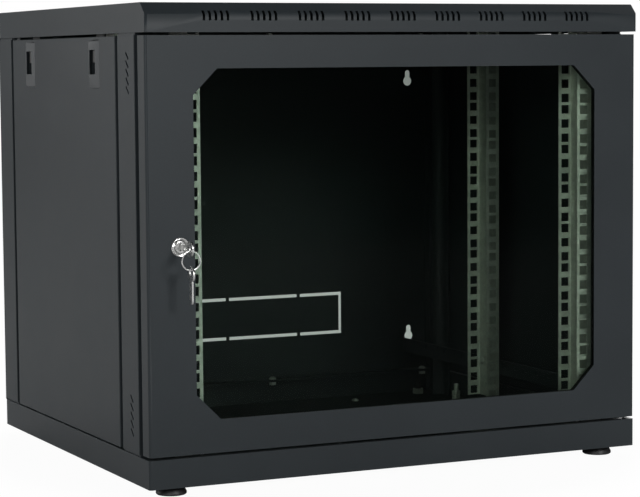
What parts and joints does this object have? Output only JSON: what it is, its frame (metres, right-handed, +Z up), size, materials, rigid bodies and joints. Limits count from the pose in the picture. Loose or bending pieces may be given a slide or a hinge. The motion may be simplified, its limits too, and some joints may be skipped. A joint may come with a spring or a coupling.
{
  "type": "wall mount network cabinet",
  "caption": "Wall mount network cabinet with a glazed lockable door, latched side panels, square-hole 19 inch rails, vented cover and levelling feet.",
  "frame": {"origin": "under the middle of the part, on the surface that the levelling feet stand on", "axes": "+X to the right seen from the door, +Y to the rear wall, +Z up"},
  "size_m": [0.58, 0.518, 0.502],
  "materials": {
    "charcoal": "fine texture powder coat",
    "tinted_glass": "smoked safety glass",
    "zinc": "bright zinc plate",
    "chrome": "polished",
    "black_plastic": "moulded",
    "rubber": "moulded"
  },
  "bodies": {
    "cabinet": {"base_tray": "charcoal", "top_cover": "charcoal", "back_panel": "charcoal", "post_front_left": "charcoal", "post_front_right": "charcoal", "post_rear_left": "charcoal", "post_rear_right": "charcoal", "depth_bracket_lower_left": "charcoal", "depth_bracket_lower_right": "charcoal", "depth_bracket_upper_left": "charcoal", "depth_bracket_upper_right": "charcoal", "rail_front_left": "zinc", "rail_front_right": "zinc", "rail_rear_left": "zinc", "rail_rear_right": "zinc", "sill_bar": "charcoal", "header_bar": "charcoal", "rail_screws": "zinc", "rail_nuts": "zinc", "bracket_screws": "zinc", "back_panel_screws": "zinc", "back_panel_nuts": "zinc", "cable_entry_plate": "charcoal", "entry_screws": "zinc", "earth_stud": "zinc", "earth_nuts": "zinc", "foot_nuts": "zinc", "hinge_bracket_lower": "charcoal", "hinge_bracket_upper": "charcoal", "hinge_pins": "zinc", "hinge_screws": "zinc"},
    "door": {"door_frame": "charcoal", "door_glass": "tinted_glass", "glass_seal": "rubber", "glass_clips": "zinc", "clip_screws": "zinc", "hinge_sleeves": "charcoal", "lock_housing": "chrome", "lock_nut": "zinc"},
    "lock": {"lock_plug": "chrome", "lock_cam": "zinc", "cam_screw": "zinc", "door_key": "chrome"},
    "key_ring": {"key_ring": "chrome"},
    "spare_key": {"spare_key": "chrome"},
    "panel_left": {"side_panel_left": "charcoal", "latch_guides_left": "charcoal"},
    "latch_front_left": {"latch_front_left": "black_plastic"},
    "latch_rear_left": {"latch_rear_left": "black_plastic"},
    "panel_right": {"side_panel_right": "charcoal", "latch_guides_right": "charcoal"},
    "latch_front_right": {"latch_front_right": "black_plastic"},
    "latch_rear_right": {"latch_rear_right": "black_plastic"},
    "foot_front_left": {"foot_front_left": "black_plastic"},
    "foot_front_right": {"foot_front_right": "black_plastic"},
    "foot_rear_left": {"foot_rear_left": "black_plastic"},
    "foot_rear_right": {"foot_rear_right": "black_plastic"}
  },
  "joints": [
    {"name": "door_hinge", "type": "hinge", "parent": "cabinet", "child": "door", "pos_m": [0.2838, -0.209, 0.1315], "axis": [0, 0, 1], "range_deg": [0, 125]},
    {"name": "lock_turn", "type": "hinge", "parent": "door", "child": "lock", "pos_m": [-0.254, -0.221, 0.256], "axis": [0, 1, 0], "range_deg": [0, 90]},
    {"name": "ring_swing", "type": "hinge", "parent": "lock", "child": "key_ring", "pos_m": [-0.254, -0.251, 0.256], "axis": [1, 0, 0], "range_deg": [-60, 20]},
    {"name": "spare_key_swing", "type": "hinge", "parent": "key_ring", "child": "spare_key", "pos_m": [-0.254, -0.251, 0.2326], "axis": [1, 0, 0], "range_deg": [-30, 30]},
    {"name": "panel_tilt_left", "type": "hinge", "parent": "cabinet", "child": "panel_left", "pos_m": [-0.29, 0.0345, 0.0428], "axis": [0, -1, 0], "range_deg": [0, 4]},
    {"name": "latch_slide_front_left", "type": "slide", "parent": "panel_left", "child": "latch_front_left", "axis": [0, 0, -1], "range_m": [0, 0.0121], "stiffness_N_per_m": 200, "springref_m": -0.005},
    {"name": "latch_slide_rear_left", "type": "slide", "parent": "panel_left", "child": "latch_rear_left", "axis": [0, 0, -1], "range_m": [0, 0.0121], "stiffness_N_per_m": 200, "springref_m": -0.005},
    {"name": "panel_tilt_right", "type": "hinge", "parent": "cabinet", "child": "panel_right", "pos_m": [0.29, 0.0345, 0.0428], "axis": [0, 1, 0], "range_deg": [0, 4]},
    {"name": "latch_slide_front_right", "type": "slide", "parent": "panel_right", "child": "latch_front_right", "axis": [0, 0, -1], "range_m": [0, 0.0121], "stiffness_N_per_m": 200, "springref_m": -0.005},
    {"name": "latch_slide_rear_right", "type": "slide", "parent": "panel_right", "child": "latch_rear_right", "axis": [0, 0, -1], "range_m": [0, 0.0121], "stiffness_N_per_m": 200, "springref_m": -0.005},
    {"name": "foot_screw_front_left", "type": "slide", "parent": "cabinet", "child": "foot_front_left", "axis": [0, 0, -1], "range_m": [0, 0.01]},
    {"name": "foot_screw_front_right", "type": "slide", "parent": "cabinet", "child": "foot_front_right", "axis": [0, 0, -1], "range_m": [0, 0.01]},
    {"name": "foot_screw_rear_left", "type": "slide", "parent": "cabinet", "child": "foot_rear_left", "axis": [0, 0, -1], "range_m": [0, 0.01]},
    {"name": "foot_screw_rear_right", "type": "slide", "parent": "cabinet", "child": "foot_rear_right", "axis": [0, 0, -1], "range_m": [0, 0.01]}
  ],
  "couplings": [
    {"joint": "latch_slide_front_left", "follows": "panel_tilt_left", "m_per_rad": 0.172},
    {"joint": "latch_slide_rear_left", "follows": "panel_tilt_left", "m_per_rad": 0.172},
    {"joint": "latch_slide_front_right", "follows": "panel_tilt_right", "m_per_rad": 0.172},
    {"joint": "latch_slide_rear_right", "follows": "panel_tilt_right", "m_per_rad": 0.172}
  ]
}
